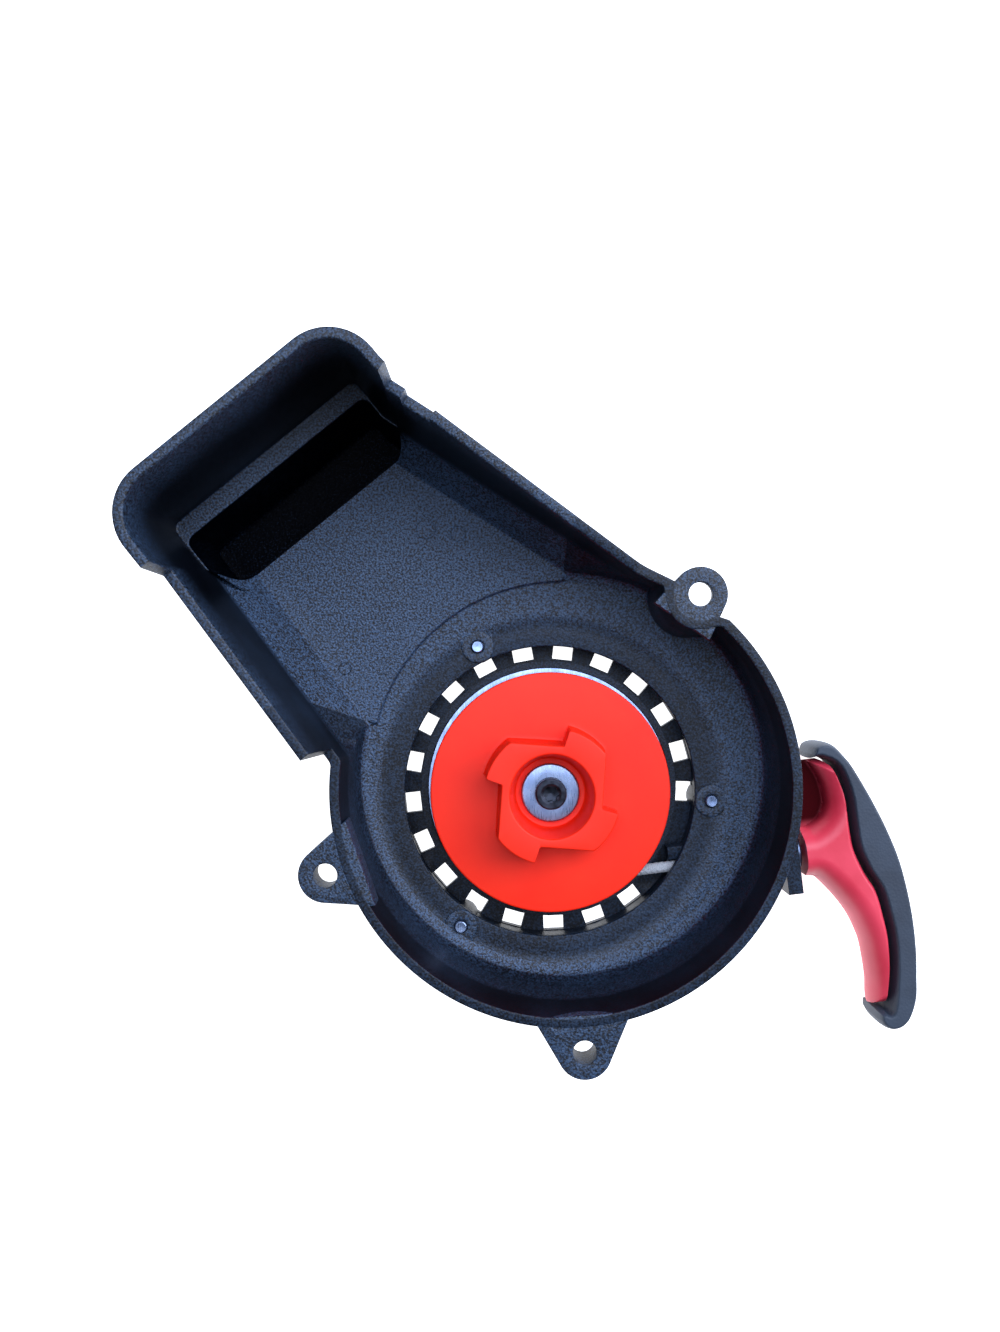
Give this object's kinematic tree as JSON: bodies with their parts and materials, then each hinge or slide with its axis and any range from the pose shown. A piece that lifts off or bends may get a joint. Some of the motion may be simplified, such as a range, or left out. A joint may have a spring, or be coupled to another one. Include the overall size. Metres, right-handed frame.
{
  "type": "recoil starter",
  "caption": "Recoil starter for a small engine: ducted fan shroud, vented housing, sprung rope reel with fixed dogs, pull rope and two-tone handle.",
  "frame": {"origin": "on the reel's axis, in the flat outer face of the recoil housing, on which the part rests", "axes": "+Z along the reel's axis towards the engine, +X towards the pull handle's side, +Y towards the duct's side"},
  "size_m": [0.197, 0.1778, 0.078],
  "materials": {
    "black_plastic": "glass-filled nylon, spark-eroded mould texture on the flat faces, smooth on the walls",
    "red_plastic": "unfilled nylon, plain moulded, slightly glossy",
    "handle_red": "polypropylene, plain moulded",
    "grip_rubber": "moulded-on soft grip, matt",
    "steel": "bright zinc plate",
    "black_steel": "black oxide",
    "spring_steel": "oiled hardened strip",
    "brass": "turned",
    "rope": "braided polyester cord"
  },
  "bodies": {
    "housing": {"fan_shroud": "black_plastic", "recoil_housing": "black_plastic", "housing_screw_1": "steel", "housing_screw_2": "steel", "housing_screw_3": "steel", "recoil_spring": "spring_steel", "spring_cover": "steel", "bearing_sleeve": "steel", "thrust_washer": "steel", "post_insert": "brass", "retaining_washer": "steel", "centre_screw": "black_steel", "rope_eyelet": "steel"},
    "reel": {"reel": "red_plastic", "rope_winding": "rope", "reel_knot": "rope"},
    "handle": {"handle_core": "handle_red", "handle_grip": "grip_rubber", "knot_washer": "steel", "handle_knot": "rope", "rope_run": "rope"}
  },
  "joints": [
    {"name": "reel_spin", "type": "hinge", "parent": "housing", "child": "reel", "pos_m": [0, 0, 0.012], "axis": [0, 0, 1], "range_deg": [0, 1350], "stiffness_Nm_per_rad": 0.012, "springref_deg": -343.77, "deforming": ["recoil_spring"]},
    {"name": "handle_pull", "type": "slide", "parent": "housing", "child": "handle", "axis": [0.9925, 0.1219, 0], "range_m": [0, 0.6], "deforming": ["rope_run"]}
  ],
  "couplings": [
    {"joint": "handle_pull", "follows": "reel_spin", "m_per_rad": 0.025}
  ]
}
